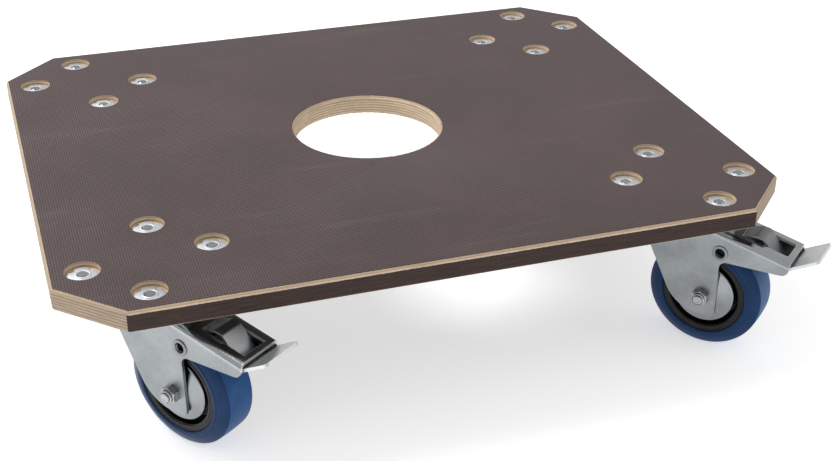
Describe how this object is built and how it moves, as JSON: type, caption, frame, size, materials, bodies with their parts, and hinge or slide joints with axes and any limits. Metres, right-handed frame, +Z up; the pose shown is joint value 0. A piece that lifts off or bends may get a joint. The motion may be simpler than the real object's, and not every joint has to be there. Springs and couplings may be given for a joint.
{
  "type": "furniture dolly",
  "caption": "Rectangular plywood dolly with cut corners, a round hand hole and braked swivel casters bolted on under its corners.",
  "frame": {"origin": "on the axis of the round hand hole, in the plane of the deck's top face, which is also the centre of that face", "axes": "+Z up out of the deck's top face, +X along the deck's long side, +Y to the rear; the casters trail towards +X, -Y at rest"},
  "size_m": [0.6214, 0.5376, 0.148],
  "materials": {
    "film_faced_ply": "satin",
    "zinc_fastener": "satin",
    "zinc_sheet": "satin",
    "zinc_pedal": "satin",
    "zinc_guard": "satin",
    "bearing_steel": "polished",
    "blue_rubber": "matte",
    "black_nylon": "satin"
  },
  "bodies": {
    "deck": {"deck_board": "film_faced_ply", "tee_nuts": "zinc_fastener", "caster_bolts": "zinc_fastener", "front_left_top_plate": "zinc_sheet", "front_left_kingpin": "zinc_fastener", "front_left_lower_race": "zinc_sheet", "front_right_top_plate": "zinc_sheet", "front_right_kingpin": "zinc_fastener", "front_right_lower_race": "zinc_sheet", "rear_left_top_plate": "zinc_sheet", "rear_left_kingpin": "zinc_fastener", "rear_left_lower_race": "zinc_sheet", "rear_right_top_plate": "zinc_sheet", "rear_right_kingpin": "zinc_fastener", "rear_right_lower_race": "zinc_sheet"},
    "front_left_swivel": {"front_left_fork": "zinc_sheet", "front_left_swivel_balls": "bearing_steel", "front_left_axle_bolt": "zinc_fastener", "front_left_axle_nut": "zinc_fastener", "front_left_axle_sleeve": "bearing_steel", "front_left_thread_guards": "zinc_guard", "front_left_brake_rivets": "zinc_fastener"},
    "front_left_wheel": {"front_left_tyre": "blue_rubber", "front_left_wheel_rim": "black_nylon", "front_left_roller_bearing": "bearing_steel"},
    "front_left_pedal": {"front_left_brake_pedal": "zinc_pedal"},
    "front_right_swivel": {"front_right_fork": "zinc_sheet", "front_right_swivel_balls": "bearing_steel", "front_right_axle_bolt": "zinc_fastener", "front_right_axle_nut": "zinc_fastener", "front_right_axle_sleeve": "bearing_steel", "front_right_thread_guards": "zinc_guard", "front_right_brake_rivets": "zinc_fastener"},
    "front_right_wheel": {"front_right_tyre": "blue_rubber", "front_right_wheel_rim": "black_nylon", "front_right_roller_bearing": "bearing_steel"},
    "front_right_pedal": {"front_right_brake_pedal": "zinc_pedal"},
    "rear_left_swivel": {"rear_left_fork": "zinc_sheet", "rear_left_swivel_balls": "bearing_steel", "rear_left_axle_bolt": "zinc_fastener", "rear_left_axle_nut": "zinc_fastener", "rear_left_axle_sleeve": "bearing_steel", "rear_left_thread_guards": "zinc_guard", "rear_left_brake_rivets": "zinc_fastener"},
    "rear_left_wheel": {"rear_left_tyre": "blue_rubber", "rear_left_wheel_rim": "black_nylon", "rear_left_roller_bearing": "bearing_steel"},
    "rear_left_pedal": {"rear_left_brake_pedal": "zinc_pedal"},
    "rear_right_swivel": {"rear_right_fork": "zinc_sheet", "rear_right_swivel_balls": "bearing_steel", "rear_right_axle_bolt": "zinc_fastener", "rear_right_axle_nut": "zinc_fastener", "rear_right_axle_sleeve": "bearing_steel", "rear_right_thread_guards": "zinc_guard", "rear_right_brake_rivets": "zinc_fastener"},
    "rear_right_wheel": {"rear_right_tyre": "blue_rubber", "rear_right_wheel_rim": "black_nylon", "rear_right_roller_bearing": "bearing_steel"},
    "rear_right_pedal": {"rear_right_brake_pedal": "zinc_pedal"}
  },
  "joints": [
    {"name": "front_left_swivel", "type": "hinge", "parent": "deck", "child": "front_left_swivel", "pos_m": [-0.225, -0.175, -0.02], "axis": [0, 0, 1], "continuous": true},
    {"name": "front_left_roll", "type": "hinge", "parent": "front_left_swivel", "child": "front_left_wheel", "pos_m": [-0.20394, -0.20295, -0.098], "axis": [0.7986, 0.6018, 0], "continuous": true},
    {"name": "front_left_brake", "type": "hinge", "parent": "front_left_swivel", "child": "front_left_pedal", "pos_m": [-0.19672, -0.21254, -0.0524], "axis": [0.7986, 0.6018, 0], "range_deg": [0, 12]},
    {"name": "front_right_swivel", "type": "hinge", "parent": "deck", "child": "front_right_swivel", "pos_m": [0.225, -0.175, -0.02], "axis": [0, 0, 1], "continuous": true},
    {"name": "front_right_roll", "type": "hinge", "parent": "front_right_swivel", "child": "front_right_wheel", "pos_m": [0.24773, -0.20161, -0.098], "axis": [0.7604, 0.6494, 0], "continuous": true},
    {"name": "front_right_brake", "type": "hinge", "parent": "front_right_swivel", "child": "front_right_pedal", "pos_m": [0.25552, -0.21074, -0.0524], "axis": [0.7604, 0.6494, 0], "range_deg": [0, 12]},
    {"name": "rear_left_swivel", "type": "hinge", "parent": "deck", "child": "rear_left_swivel", "pos_m": [-0.225, 0.175, -0.02], "axis": [0, 0, 1], "continuous": true},
    {"name": "rear_left_roll", "type": "hinge", "parent": "rear_left_swivel", "child": "rear_left_wheel", "pos_m": [-0.20345, 0.14742, -0.098], "axis": [0.788, 0.6157, 0], "continuous": true},
    {"name": "rear_left_brake", "type": "hinge", "parent": "rear_left_swivel", "child": "rear_left_pedal", "pos_m": [-0.19606, 0.13796, -0.0524], "axis": [0.788, 0.6157, 0], "range_deg": [0, 12]},
    {"name": "rear_right_swivel", "type": "hinge", "parent": "deck", "child": "rear_right_swivel", "pos_m": [0.225, 0.175, -0.02], "axis": [0, 0, 1], "continuous": true},
    {"name": "rear_right_roll", "type": "hinge", "parent": "rear_right_swivel", "child": "rear_right_wheel", "pos_m": [0.24726, 0.14799, -0.098], "axis": [0.7716, 0.6361, 0], "continuous": true},
    {"name": "rear_right_brake", "type": "hinge", "parent": "rear_right_swivel", "child": "rear_right_pedal", "pos_m": [0.2549, 0.13873, -0.0524], "axis": [0.7716, 0.6361, 0], "range_deg": [0, 12]}
  ]
}
